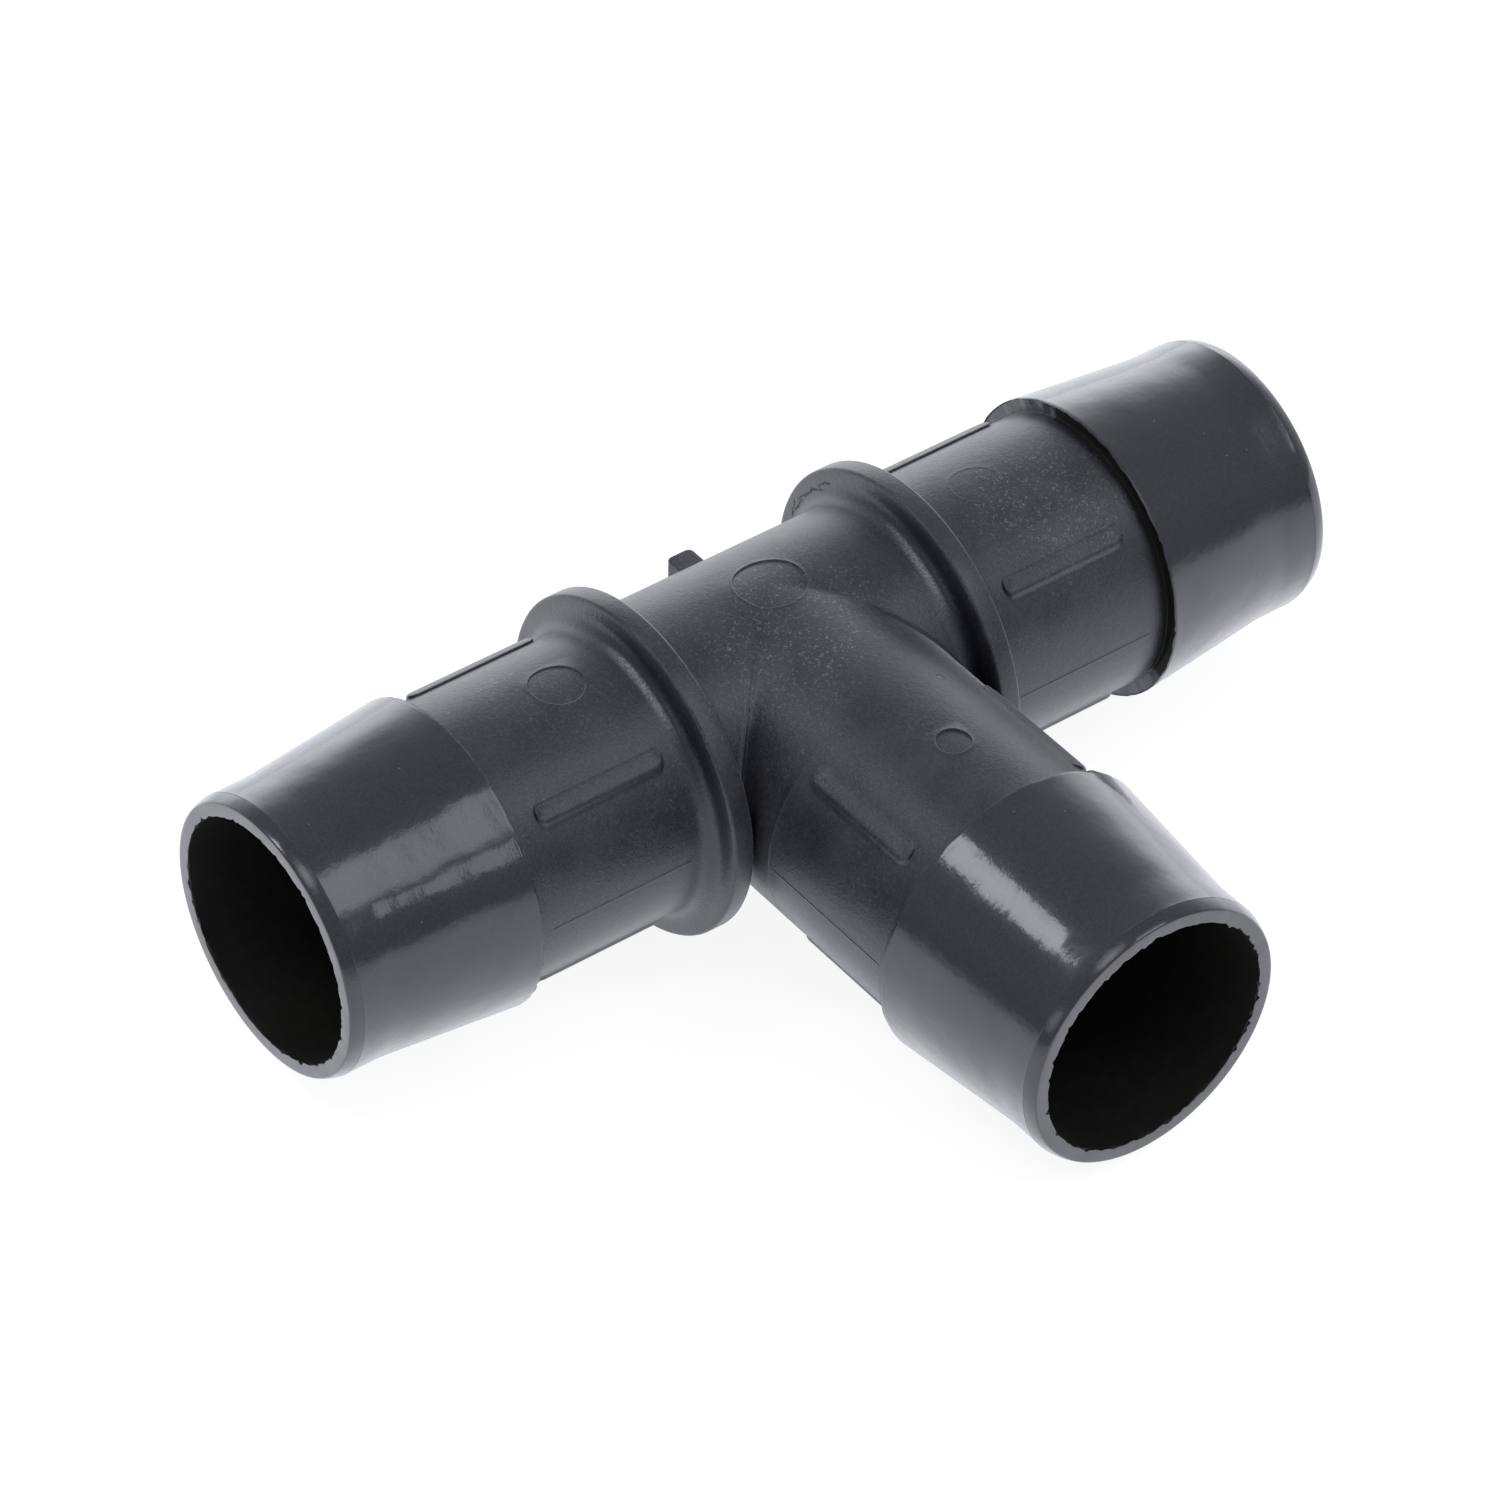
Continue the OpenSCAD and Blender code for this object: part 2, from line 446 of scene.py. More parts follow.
def crossing_height(x, y):
    """Height of the body's top over plan position x, y near the crossing."""
    run = np.sqrt(SLEEVE_R ** 2 - y ** 2)
    branch = np.sqrt(SLEEVE_R ** 2 - x ** 2)
    k = np.hypot(x, y) / math.sqrt(2) * BLEND_MM / SLEEVE_R
    return np.where(y < 0, smooth_max(run, branch, k), run)


def mark_sink(x, y, radius, depth):
    """Height change in an ejector mark: a fine lip, a step down and a floor that is deepest at the back."""
    beyond = np.hypot(x, y) - radius
    inside = np.interp(beyond, (-0.04, 0.02), (1.0, 0.0))
    lip = np.interp(beyond, (0.02, 0.07, 0.14), (0.0, 0.28, 0.0))
    return depth * (lip - inside * (1 + 0.4 * (0.7 * x + 0.7 * y) / radius))


def crossing_patch(side, depth):
    """Closes the crossing's top or bottom with rings about its middle, sunk by this depth in the mark."""
    radius = CENTRE_MARK_R
    top = 90.0 if side > 0 else 270.0
    half = 90.0 - CROSS_DEG
    first, last = top - side * half, top + side * half
    span = np.linspace(first, last, int(round(2 * half / STEP_DEG)) + 1)
    right = [RIGHT.ids[0, col(a)] for a in span]
    back_col = BACK.index(col(last))
    back = list(bridge[:, back_col])
    left = [LEFT.ids[0, col(a)] for a in span[::-1]]
    front = [BRANCH.ids[0, col(a)] for a in span[::-1]]
    loop = right[:-1] + back[:-1] + left[:-1] + front[:-1]
    turn = np.linspace(-math.pi / 4, 7 * math.pi / 4, len(loop), endpoint=False)
    rings = [loop]
    reach = [radius + 0.4, radius + 0.14, radius + 0.07, radius + 0.02, radius - 0.04, radius - 0.12]
    reach += [radius - 0.3, radius * 0.75, radius * 0.5, radius * 0.25]
    for d in reach:
        x = d * np.cos(turn)
        y = d * np.sin(turn)
        z = side * (crossing_height(x, y) + mark_sink(x, y, radius, depth))
        rings.append(net.add(np.stack([x, y, z], axis=-1)))
    for outer, inner in zip(rings[:-1], rings[1:]):
        net.strip(outer, inner, MATTE, closed=True)
    centre = net.add(np.array([[0.0, 0.0, side * (SLEEVE_R - depth)]]))[0]
    last_ring = rings[-1]
    for i in range(len(last_ring)):
        net.face((last_ring[i], last_ring[(i + 1) % len(last_ring)], centre), MATTE)


crossing_patch(1, CENTRE_MARK_DEPTH)
crossing_patch(-1, 0.0)


def square_loop(n, m):
    """Indices of the points round an n by m block of rows and columns, in order."""
    loop = [(i, 0) for i in range(n)]
    loop += [(n, j) for j in range(m)]
    loop += [(i, m) for i in range(n, 0, -1)]
    loop += [(0, j) for j in range(m, 0, -1)]
    return loop


def stadium(u, v, half, radius):
    """Maps the unit square onto a bar with round ends."""
    c = np.maximum(np.maximum(np.abs(u), np.abs(v)), 1e-9)
    un, vn = u / c, v / c
    knee = 1 - 6 / SLEEVE_STEPS
    share = np.clip((np.abs(un) - knee) / (1 - knee), 0, 1)
    on_end = np.abs(un) > 1 - 1e-9
    turn = np.where(on_end, vn * math.radians(50), np.sign(vn) * np.radians(90 - 40 * share))
    straight = np.where(np.abs(un) < knee, np.abs(un) / knee, 1.0)
    ds = np.sign(un) * (half * straight + np.where(straight >= 1, radius * np.cos(turn), 0))
    dw = radius * np.sin(turn)
    return c * ds, c * dw


def disc(u, v, radius):
    """Maps the unit square onto a disc."""
    c = np.maximum(np.abs(u), np.abs(v))
    wide = np.abs(u) >= np.abs(v)
    ratio = np.divide(np.where(wide, v, u), np.where(wide, u, v), out=np.zeros_like(c), where=c > 1e-9)
    a = math.pi / 4 * ratio
    ds = np.where(wide, np.sign(u) * np.cos(a), np.sign(v) * np.sin(a))
    dw = np.where(wide, np.sign(u) * np.sin(a), np.sign(v) * np.cos(a))
    return c * radius * ds, c * radius * dw


def pad_outline(u, v, half, inset):
    """Maps the unit square onto the pad's outline: two square corners, and two round ones at v = 1."""
    ds = u * (PAD_HALF_W - inset)
    dw = v * (half - inset)
    corner = PAD_CORNER - inset
    cs = np.abs(ds) - (PAD_HALF_W - inset - corner)
    cw = dw - (half - inset - corner)
    inside = (cs > 0) & (cw > 0)
    shrink = np.maximum(cs, cw) / np.maximum(np.hypot(cs, cw), 1e-9)
    cs = np.where(inside, cs * shrink, cs)
    cw = np.where(inside, cw * shrink, cw)
    ds = np.where(inside, np.sign(ds) * (PAD_HALF_W - inset - corner + cs), ds)
    dw = np.where(inside, half - inset - corner + cw, dw)
    return ds, dw


def insert_shape(ids, skip, k0, k1, c0, c1, rings, last):
    """Replaces rows k0 to k1 and columns c0 to c1 of a sheet of points with rings and an inner block.

    They are given as functions of u, v on the unit square that return points. Those of the rings also take
    the points of the rectangle's edge.
    """
    n, m = k1 - k0, c1 - c0
    block = ids[k0:k1 + 1, c0:c1 + 1]
    skip[k0:k1, c0:c1] = True
    loop = square_loop(n, m)
    lu = np.array([2 * i / n - 1 for i, j in loop])
    lv = np.array([2 * j / m - 1 for i, j in loop])
    before = [block[i, j] for i, j in loop]
    for ring in rings:
        now = net.add(ring(lu, lv, net.points[[block[i, j] for i, j in loop]]))
        net.strip(before, now, MATTE, closed=True)
        before = now
    inner = block.copy()
    for (i, j), vertex in zip(loop, before):
        inner[i, j] = vertex
    iu, iv = np.meshgrid(2 * np.arange(n + 1) / n - 1, 2 * np.arange(m + 1) / m - 1, indexing="ij")
    points = last(iu, iv)
    net.points[inner[1:-1, 1:-1]] = points[1:-1, 1:-1]
    net.sheet(inner, MATTE)


def add_rib(arm, angle):
    """One low rib at this angle round the arm."""
    side = 1 if math.sin(math.radians(angle)) > 0 else -1
    front = 1 if math.cos(math.radians(angle)) > 0 else -1
    k0 = arm.marks["patch"]
    c0, c1 = col(angle - 7.5), col(angle + 7.5)
    mid = (RIB_START + RIB_END) / 2
    half = (RIB_END - RIB_START) / 2 - RIB_HALF_W
    turn = -side * front
    # Heights of the rib's inner and outer wall as shares of its rise
    seen_low = arm is BRANCH or front > 0
    inner_share, outer_share = (0.06, 0.7) if seen_low else (0.4, 1.0)
    # Inset from the rib's outline and height over the sleeve, from its foot to its top
    section = (
        (-0.22, 0.0), (-0.12, 0.015), (-0.045, 0.06), (0.0, 0.15),
        (0.01, 0.3), (0.06, 0.41), (0.14, 0.48), (0.25, 0.5),
    )

    def at(u, v, inset, rise):
        ds, dw = stadium(u, v, half, RIB_HALF_W - inset)
        outward = 0.5 - 0.5 * side * dw / RIB_HALF_W
        tip = np.clip((np.abs(ds) - half) / RIB_HALF_W, 0, 1)
        lift = rise * np.maximum(inner_share + (outer_share - inner_share) * outward, 0.8 * tip)
        return arm.on_plan(mid + ds, front * RIB_W_AT + turn * dw, SLEEVE_R + lift, side)

    def around(u, v, edge):
        """Ring between the block's edge and the rib's foot, on the sleeve's cylinder."""
        p = 0.45 * edge + 0.55 * at(u, v, *section[0])
        s = p @ arm.axis
        away = p - s[:, None] * arm.axis
        return s[:, None] * arm.axis + away * (SLEEVE_R / np.linalg.norm(away, axis=1))[:, None]

    rings = [around] + [lambda u, v, edge, i=i, h=h: at(u, v, i, h) for i, h in section]
    k1 = k0 + SLEEVE_STEPS
    insert_shape(arm.ids, arm.skip, k0, k1, c0, c1, rings, lambda u, v: at(u, v, *section[-1]))


def add_mark(arm, centre_s, radius, depth, first, last, half_deg):
    """A shallow round ejector mark in the top of a sleeve, within rows first to last of its patch."""
    k0 = arm.marks["patch"] + first
    k1 = arm.marks["patch"] + last
    c0, c1 = col(90 - half_deg), col(90 + half_deg)

    def at(u, v, grow):
        ds, dw = disc(u, v, radius + grow)
        x = ds * arm.axis[0] - dw * arm.front[0]
        y = ds * arm.axis[1] - dw * arm.front[1]
        return arm.on_plan(centre_s + ds, -dw, SLEEVE_R + mark_sink(x, y, radius, depth), 1)

    grows = (0.14, 0.07, 0.02, -0.04, -0.12, -0.3)
    rings = [lambda u, v, edge, g=g: at(u, v, g) for g in grows]
    insert_shape(arm.ids, arm.skip, k0, k1, c0, c1, rings, lambda u, v: at(u, v, grows[-1]))


for arm in ARMS:
    arm.skip = np.zeros((arm.ids.shape[0] - 1, COLS), bool)
    for angle in (45, 135, 225, 315):
        add_rib(arm, angle)
# Place along the arm, radius, depth, first and last row, and half the width in degrees
add_mark(LEFT, 21.4, 2.3, 0.075, 2, 12, 13.125)
add_mark(RIGHT, 21.4, 2.2, 0.014, 2, 12, 13.125)
add_mark(BRANCH, 24.0, 1.45, 0.1, 8, 15, 9.375)


def add_parting_lines(arm):
    """Fine sunk line with raised edges along both sides of the sleeve, where the mould parts."""
    first = arm.marks["patch"]
    last = first + SLEEVE_STEPS
    for angle in (0.0, 180.0):
        wave = 0.02 * np.sin(np.arange(last - first + 1) * 1.7 + angle)
        for turn, lift in ((0.0, -0.06), (-FINE_DEG[0], 0.012), (FINE_DEG[0], 0.012)):
            ids = arm.ids[first:last + 1, col(angle + turn)]
            points = net.points[ids]
            s = points @ arm.axis
            away = points - s[:, None] * arm.axis
            scale = 1 + (lift + wave * (lift < 0)) / SLEEVE_R
            net.points[ids] = s[:, None] * arm.axis + away * scale[:, None]


for arm in ARMS:
    add_parting_lines(arm)


def add_pad():
    """The flat-topped pad at the back, with upright walls that end on the body."""
    skip = np.zeros((bridge.shape[0] - 1, bridge.shape[1] - 1), bool)
    k0, k1 = BRIDGE_STEPS // 4, BRIDGE_STEPS - BRIDGE_STEPS // 4
    c0, c1 = BACK.index(col(142.5)), BACK.index(col(178.125))
    near = math.sqrt(SLEEVE_R ** 2 - (PAD_TOP - 0.02) ** 2)
    half = (PAD_FAR - near) / 2
    mid = (PAD_FAR + near) / 2

    def plan(u, v, inset):
        ds, dw = pad_outline(u, v, half, inset)
        return -ds, mid + dw

    def foot(u, v, edge):
        x, y = plan(u, v, 0.0)
        return np.stack([x, y, np.sqrt(SLEEVE_R ** 2 - y ** 2)], axis=-1)

    def above(inset, drop):
        def ring(u, v, edge=None):
            x, y = plan(u, v, inset)
            floor = np.sqrt(SLEEVE_R ** 2 - np.minimum(y, PAD_FAR) ** 2)
            return np.stack([x, y, np.maximum(PAD_TOP - drop, np.minimum(floor, PAD_TOP))], axis=-1)
        return ring

    def around(u, v, edge):
        p = 0.5 * edge + 0.5 * foot(u, v, edge)
        p[:, 1:] *= (SLEEVE_R / np.hypot(p[:, 1], p[:, 2]))[:, None]
        return p

    top = above(0.07, 0.0)
    rings = [around, foot, above(0.0, 0.06), above(0.02, 0.015), top]
    insert_shape(bridge, skip, k0, k1, c0, c1, rings, top)
    return skip


def sheet_with_gaps(ids, skip, slot_of, closed):
    """Quads over a sheet of points, apart from the blocks that a shape has replaced."""
    rows, cols = ids.shape
    for k in range(rows - 1):
        for j in range(cols if closed else cols - 1):
            if not skip[k, j]:
                n = (j + 1) % cols
                net.face((ids[k, j], ids[k, n], ids[k + 1, n], ids[k + 1, j]), slot_of(k, j))


def arm_slot(marks, k, j):
    """Material of an arm's face at row k and column j."""
    # Painted shade: the cut in the shoulder's face and the sleeve's last rows before it take the bores'
    # dark material
    in_painted_shade = marks["cut"] - 5 <= k <= marks["cut"] + 1 and CUT_SHARE[j] > 0.4
    if in_painted_shade or k >= marks["bore"]:
        return INSIDE
    return GLOSS if k >= marks["gloss"] else MATTE


sheet_with_gaps(bridge, add_pad(), lambda k, j: MATTE, False)
for arm in ARMS:
    sheet_with_gaps(arm.ids, arm.skip, lambda k, j, marks=arm.marks: arm_slot(marks, k, j), True)


def bore_rows(arm):
    """The bore's rows from the mouth inwards, without the last one."""
    rows = [arm.place(np.full(COLS, s), BORE_R, PHI) for s in BORE_ROWS]
    return net.add(np.array(rows))


branch_end = net.add(
    np.stack([BORE_R * np.cos(PHI), -BORE_R * np.abs(np.cos(PHI)), BORE_R * np.sin(PHI)], axis=-1)
)
run_back = net.add(np.stack([0 * PHI, BORE_R * np.abs(np.cos(PHI)), BORE_R * np.sin(PHI)], axis=-1))
in_front = np.cos(PHI) > -1e-6
ends = (
    np.where(in_front, branch_end, run_back),
    np.where(in_front, branch_end[[col(180.0 - a) for a in ANGLES]], run_back),
    branch_end,
)
for arm, end in zip(ARMS, ends):
    rows = [arm.ids[-1]] + list(bore_rows(arm))
    target = net.points[end]
    near = net.points[rows[-1]]
    rows += [net.add(near + (target - near) * q) for q in (0.35, 0.7)]
    rows.append(end)
    for lower, upper in zip(rows[:-1], rows[1:]):
        net.strip(lower, upper, INSIDE, closed=True)


def make_mesh(name):
    """A mesh object of the net, without the points that no face uses."""
    used = np.unique(np.concatenate([np.array(f) for f in net.faces]))
    renumber = np.full(len(net.points), -1)
    renumber[used] = np.arange(len(used))
    mesh = bpy.data.meshes.new(name)
    faces = [tuple(int(renumber[i]) for i in f) for f in net.faces]
    mesh.from_pydata((net.points[used] * MM).tolist(), [], faces)
    mesh.polygons.foreach_set("material_index", net.slots)
    mesh.polygons.foreach_set("use_smooth", [True] * len(faces))
    mesh.validate()
    obj = bpy.data.objects.new(name, mesh)
    bpy.context.scene.collection.objects.link(obj)
    return obj


tee = make_mesh("tee_moulding")

work = bmesh.new()
work.from_mesh(tee.data)
bmesh.ops.recalc_face_normals(work, faces=work.faces)
if work.calc_volume(signed=True) < 0:
    bmesh.ops.reverse_faces(work, faces=work.faces)
work.to_mesh(tee.data)
work.free()
tee.data.set_sharp_from_angle(angle=math.radians(32))


class Graph:
    """Short calls for building a node tree."""

    def __init__(self, tree):
        self.tree = tree

    def link(self, value, socket):
        if isinstance(value, (int, float, tuple)):
            socket.default_value = value
        else:
            self.tree.links.new(value, socket)

    def node(self, kind, inputs=None, **settings):
        made = self.tree.nodes.new(kind)
        for key, value in settings.items():
            setattr(made, key, value)
        for key, value in (inputs or {}).items():
            self.link(value, made.inputs[key])
        return made

    def math(self, operation, a, b=0.0, c=0.0):
        made = self.node("ShaderNodeMath", operation=operation)
        for socket, value in zip(made.inputs, (a, b, c)):
            self.link(value, socket)
        return made.outputs[0]

    def vector(self, operation, a, b=(0.0, 0.0, 0.0), out="Vector"):
        """Result of a vector operation; out is "Value" for the operations that give a number."""
        return self.node("ShaderNodeVectorMath", operation=operation, inputs={0: a, 1: b}).outputs[out]

    def mix_colour(self, share, a, b):
        """Colour from a to b by this share."""
        made = self.node("ShaderNodeMix", data_type="RGBA", inputs={"Factor": share, 6: a, 7: b})
        return made.outputs[2]

    def ramp(self, value, low, high, to_low=0.0, to_high=1.0):
        """Smooth step of value from low to high."""
        made = self.node("ShaderNodeMapRange", interpolation_type="SMOOTHSTEP")
        keys = ("Value", "From Min", "From Max", "To Min", "To Max")
        for key, number in zip(keys, (value, low, high, to_low, to_high)):
            self.link(number, made.inputs[key])
        return made.outputs["Result"]


class Nodes(Graph):
    """Node tree of a new material around its Principled shader."""

    def __init__(self, name):
        self.material = bpy.data.materials.new(name)
        self.material.use_nodes = True
        super().__init__(self.material.node_tree)
        self.shader = self.tree.nodes["Principled BSDF"]
        self.place = self.tree.nodes.new("ShaderNodeTexCoord").outputs["Object"]

    def noise(self, size_mm, detail=2.0, vector=None, roughness=0.5, distortion=0.0, seed=0.0):
        made = self.node(
            "ShaderNodeTexNoise", noise_dimensions="4D",
            inputs={
                "Vector": vector or self.place, "W": seed, "Scale": 1 / (size_mm * MM),
                "Detail": detail, "Roughness": roughness, "Distortion": distortion,
            },
        )
        return made.outputs["Fac"]

    def near(self, centre_mm, inner_mm, outer_mm):
        """1 within the inner radius of a place, falling to 0 at the outer radius."""
        away = self.vector("DISTANCE", self.place, tuple(c * MM for c in centre_mm), out="Value")
        return self.ramp(away, inner_mm * MM, outer_mm * MM, 1.0, 0.0)

    def axis(self, name):
        """Object coordinate along this axis."""
        return self.node("ShaderNodeSeparateXYZ", inputs={"Vector": self.place}).outputs[name]

    def band(self, value, rise_mm, fall_mm):
        """1 between two places along a value, rising and falling over the given stretches."""
        rise = self.ramp(value, rise_mm[0] * MM, rise_mm[1] * MM)
        return self.math("MULTIPLY", rise, self.ramp(value, fall_mm[0] * MM, fall_mm[1] * MM, 1.0, 0.0))

    def grey(self, value, blue=1.05, blue_lift=0.003):
        """A near-neutral colour of this brightness."""
        made = self.node("ShaderNodeCombineColor")
        self.link(value, made.inputs[0])
        self.link(self.math("MULTIPLY", value, 1.005), made.inputs[1])
        self.link(self.math("MULTIPLY_ADD", value, blue, blue_lift), made.inputs[2])
        return made.outputs[0]

    def bump(self, height, strength, distance_mm, below=None):
        made = self.node("ShaderNodeBump", inputs={"Height": height})
        made.inputs["Strength"].default_value = strength
        made.inputs["Distance"].default_value = distance_mm * MM
        if below is not None:
            self.link(below, made.inputs["Normal"])
        return made.outputs[0]

    def sheen_and_coat(self, sheen, sheen_rough, coat, coat_rough):
        """The pale look of the plastic's skin at grazing angles."""
        inputs = self.shader.inputs
        inputs["IOR"].default_value = 1.55
        inputs["Sheen Weight"].default_value = sheen
        inputs["Sheen Roughness"].default_value = sheen_rough
        inputs["Sheen Tint"].default_value = (0.9, 0.93, 1.0, 1)
        inputs["Specular Tint"].default_value = (0.86, 0.88, 1.0, 1)
        inputs["Coat Weight"].default_value = coat
        inputs["Coat Roughness"].default_value = coat_rough
        inputs["Coat IOR"].default_value = 1.5

    def finish(self, colour, roughness, normal):
        self.link(colour, self.shader.inputs["Base Color"])
        self.link(roughness, self.shader.inputs["Roughness"])
        self.link(normal, self.shader.inputs["Normal"])
        self.link(normal, self.shader.inputs["Coat Normal"])
        return self.material


def stroke(m, place, start_mm, end_mm, half_mm):
    """1 on a thin straight stroke between two places."""
    start = Vector(start_mm) * MM
    along = Vector(end_mm) * MM - start
    rel = m.vector("SUBTRACT", place, tuple(start))
    dot = m.vector("DOT_PRODUCT", rel, tuple(along), out="Value")
    share = m.node(
        "ShaderNodeMath", operation="DIVIDE", use_clamp=True, inputs={0: dot, 1: along.length_squared},
    )
    foot = m.vector("MULTIPLY", tuple(along), share.outputs[0])
    away = m.vector("DISTANCE", rel, foot, out="Value")
    return m.ramp(away, half_mm * MM, 2 * half_mm * MM, 1.0, 0.0)


# Fine crack on the right collar's flank: y and z of its strokes' ends, in millimetres
CRACK_X = 12.64
CRACK = (
    ((12.4, 6.6), (11.5, 7.7)),
    ((11.5, 7.7), (10.4, 9.0)),
    ((10.4, 9.0), (8.9, 10.0)),
    ((9.7, 9.8), (8.9, 10.7)),
    ((8.9, 10.7), (8.3, 11.0)),
    ((12.9, 6.1), (13.1, 4.5)),
    ((11.8, 6.9), (12.7, 5.3)),
)


def crack_lines(m):
    """The crack's strokes, bent a little."""
    scale = 1 / (0.5 * MM)
    wobble = m.node("ShaderNodeTexNoise", inputs={"Vector": m.place, "Scale": scale, "Detail": 2.0})
    shift = m.vector("SUBTRACT", wobble.outputs["Color"], (0.5, 0.5, 0.5))
    bent = m.vector("ADD", m.vector("MULTIPLY", shift, (0, 0.6 * MM, 0.6 * MM)), m.place)
    total = 0.0
    for start, end in CRACK:
        line = stroke(m, bent, (CRACK_X, *start), (CRACK_X, *end), 0.06)
        total = m.math("MAXIMUM", total, line)
    return total


def hairs(m, size_mm, seed, thin, share):
    """Short fine hairs: pieces of a noise's contour lines."""
    field = m.noise(size_mm, 1.0, seed=seed)
    line = m.ramp(m.math("ABSOLUTE", m.math("SUBTRACT", field, 0.5)), thin, 2.5 * thin, 1.0, 0.0)
    pieces = m.ramp(m.noise(size_mm * 0.9, 0.0, seed=seed + 0.5), share, share + 0.08)
    return m.math("MULTIPLY", line, pieces)


def collar_places(m):
    """Painted shade on the collars' flanks, and painted highlight streaks on the fillets at their feet."""
    x, y, z = (m.axis(name) for name in "XYZ")
    radius = m.math("SQRT", m.math("ADD", m.math("MULTIPLY", y, y), m.math("MULTIPLY", z, z)))
    away = m.math("ABSOLUTE", m.math("SUBTRACT", m.math("ABSOLUTE", x), COLLAR_S * MM))
    # Painted shade mask: the collars' flanks between fillet and rim
    flank = m.band(away, (0.95, 1.1), (1.5, 2.1))
    flank = m.math("MULTIPLY", flank, m.ramp(radius, 14.3 * MM, 14.9 * MM, 1.0, 0.0))
    # Painted highlight mask: reflection streaks on the fillets at the collars' feet, near two places
    foot = m.band(away, (1.6, 1.85), (1.95, 2.5))
    foot = m.math("MULTIPLY", foot, m.ramp(radius, 12.9 * MM, 13.1 * MM, 1.0, 0.0))
    side = m.math("MAXIMUM", m.near((-15.9, -3.9, 12.0), 1.5, 6.5), m.near((11.7, -5.5, 11.4), 1.0, 5))
    strokes = m.ramp(m.noise(0.2, 2.0, seed=12.0), 0.2, 0.75)
    return flank, m.math("MULTIPLY", m.math("MULTIPLY", foot, side), strokes)


def run_ray(m):
    """Direction from the run's axis to a place, square to the axis."""
    return m.vector("NORMALIZE", m.vector("MULTIPLY", m.place, (0.0, 1.0, 1.0)))


def shoulder_scratches(m):
    """Fine radial scratches on the two run shoulders' faces."""
    away = m.math("ABSOLUTE", m.math("SUBTRACT", m.math("ABSOLUTE", m.axis("X")), SHOULDER_S * MM))
    scale = BARB_R / 0.25
    streaks = m.node("ShaderNodeTexNoise", inputs={"Vector": run_ray(m), "Scale": scale, "Detail": 2.0})
    streaks = m.ramp(streaks.outputs["Fac"], 0.45, 0.7)
    return m.math("MULTIPLY", streaks, m.ramp(away, 0.12 * MM, 0.2 * MM, 1.0, 0.0))


def shaded_strip(m):
    """Painted shade at the end of the right sleeve, beside the part of the shoulder painted black as shade.
    """
    middle = math.radians(CUT_MIDDLE)
    towards = (0.0, -math.cos(middle), math.sin(middle))
    side = m.ramp(m.vector("DOT_PRODUCT", run_ray(m), towards, out="Value"), 0.25, 0.65)
    return m.math("MULTIPLY", side, m.ramp(m.axis("X"), 30.9 * MM, 32.2 * MM))


def crescent(m, centre_mm, radius_mm):
    """A small curved dent on a sleeve's top."""
    x, y, z = centre_mm
    disc_here = m.near((x, y, z), radius_mm, radius_mm + 0.06)
    disc_back = m.near((x - 0.1, y - 0.15, z), radius_mm, radius_mm + 0.06)
    return m.math("MAXIMUM", m.math("SUBTRACT", disc_here, disc_back), 0.0)


def matte_material():
    m = Nodes("matte_moulding")
    cloud = m.noise(3.6, 4.0, seed=1.0)
    fine = m.noise(0.17, 2.0, seed=2.0)
    grain = m.noise(0.5, 2.0, seed=5.0)
    patch = m.ramp(m.noise(6.0, 2.0, seed=8.0), 0.42, 0.62)
    worn = m.math("MAXIMUM", m.near((-1, -5.5, 12), 3.5, 12), m.near((25, -4, 12), 3, 9))
    worn = m.math("MAXIMUM", worn, m.math("MULTIPLY", m.near((-25, 2, 12), 2, 9), 0.4))
    amount = m.math("MULTIPLY_ADD", worn, 0.8, m.math("MULTIPLY", patch, 0.35))
    dots = m.node("ShaderNodeTexVoronoi", inputs={"Vector": m.place, "Scale": 1 / (0.36 * MM)})
    dot = m.ramp(dots.outputs["Distance"], 0.05, 0.2, 1.0, 0.0)
    dot = m.math("MULTIPLY", dot, m.ramp(m.noise(0.8, 3.0, seed=3.0), 0.4, 0.62))
    pale = m.math("MAXIMUM", dot, m.math("MULTIPLY", hairs(m, 0.4, 13.0, 0.014, 0.52), 0.6))
    pale = m.math("MULTIPLY", pale, amount)
    flank, painted_fillet_highlight = collar_places(m)
    tone = m.math("MULTIPLY_ADD", m.ramp(cloud, 0.3, 0.7), 0.02, 0.009)
    tone = m.math("MULTIPLY_ADD", m.ramp(fine, 0.35, 0.75), 0.028, tone)
    tone = m.math("MULTIPLY_ADD", shoulder_scratches(m), 0.06, tone)
    tone = m.math("MULTIPLY_ADD", m.math("MULTIPLY", patch, worn), 0.014, tone)
    # Painted shade: the collars' flanks darkened
    tone = m.math("MULTIPLY", tone, m.math("SUBTRACT", 1.0, m.math("MULTIPLY", flank, 0.9)))
    # Painted shade: the end of the right sleeve beside the shoulder
    tone = m.math("MULTIPLY", tone, m.math("SUBTRACT", 1.0, m.math("MULTIPLY", shaded_strip(m), 0.9)))
    tone = m.math("MULTIPLY_ADD", pale, 0.21, tone)
    # Painted highlight: pale reflection streaks on the collars' fillets
    tone = m.math("MULTIPLY_ADD", painted_fillet_highlight, 0.28, tone)
    dent = m.math("MAXIMUM", crescent(m, (4.5, -16.6, 11.5), 0.35), crack_lines(m))
    tone = m.math("MULTIPLY", tone, m.math("SUBTRACT", 1.0, dent))
    rough = m.math("MULTIPLY_ADD", cloud, 0.2, 0.33)
    rough = m.math("MULTIPLY_ADD", flank, -0.12, rough)
    rough = m.math("MULTIPLY_ADD", dent, 0.5, rough)
    normal = m.bump(grain, 0.4, 0.05)
    normal = m.bump(fine, 0.5, 0.06, normal)
    normal = m.bump(m.math("MULTIPLY", dent, -1.0), 1.0, 0.3, normal)
    m.sheen_and_coat(1.0, 0.25, 0.6, 0.32)
    return m.finish(m.grey(tone), rough, normal)


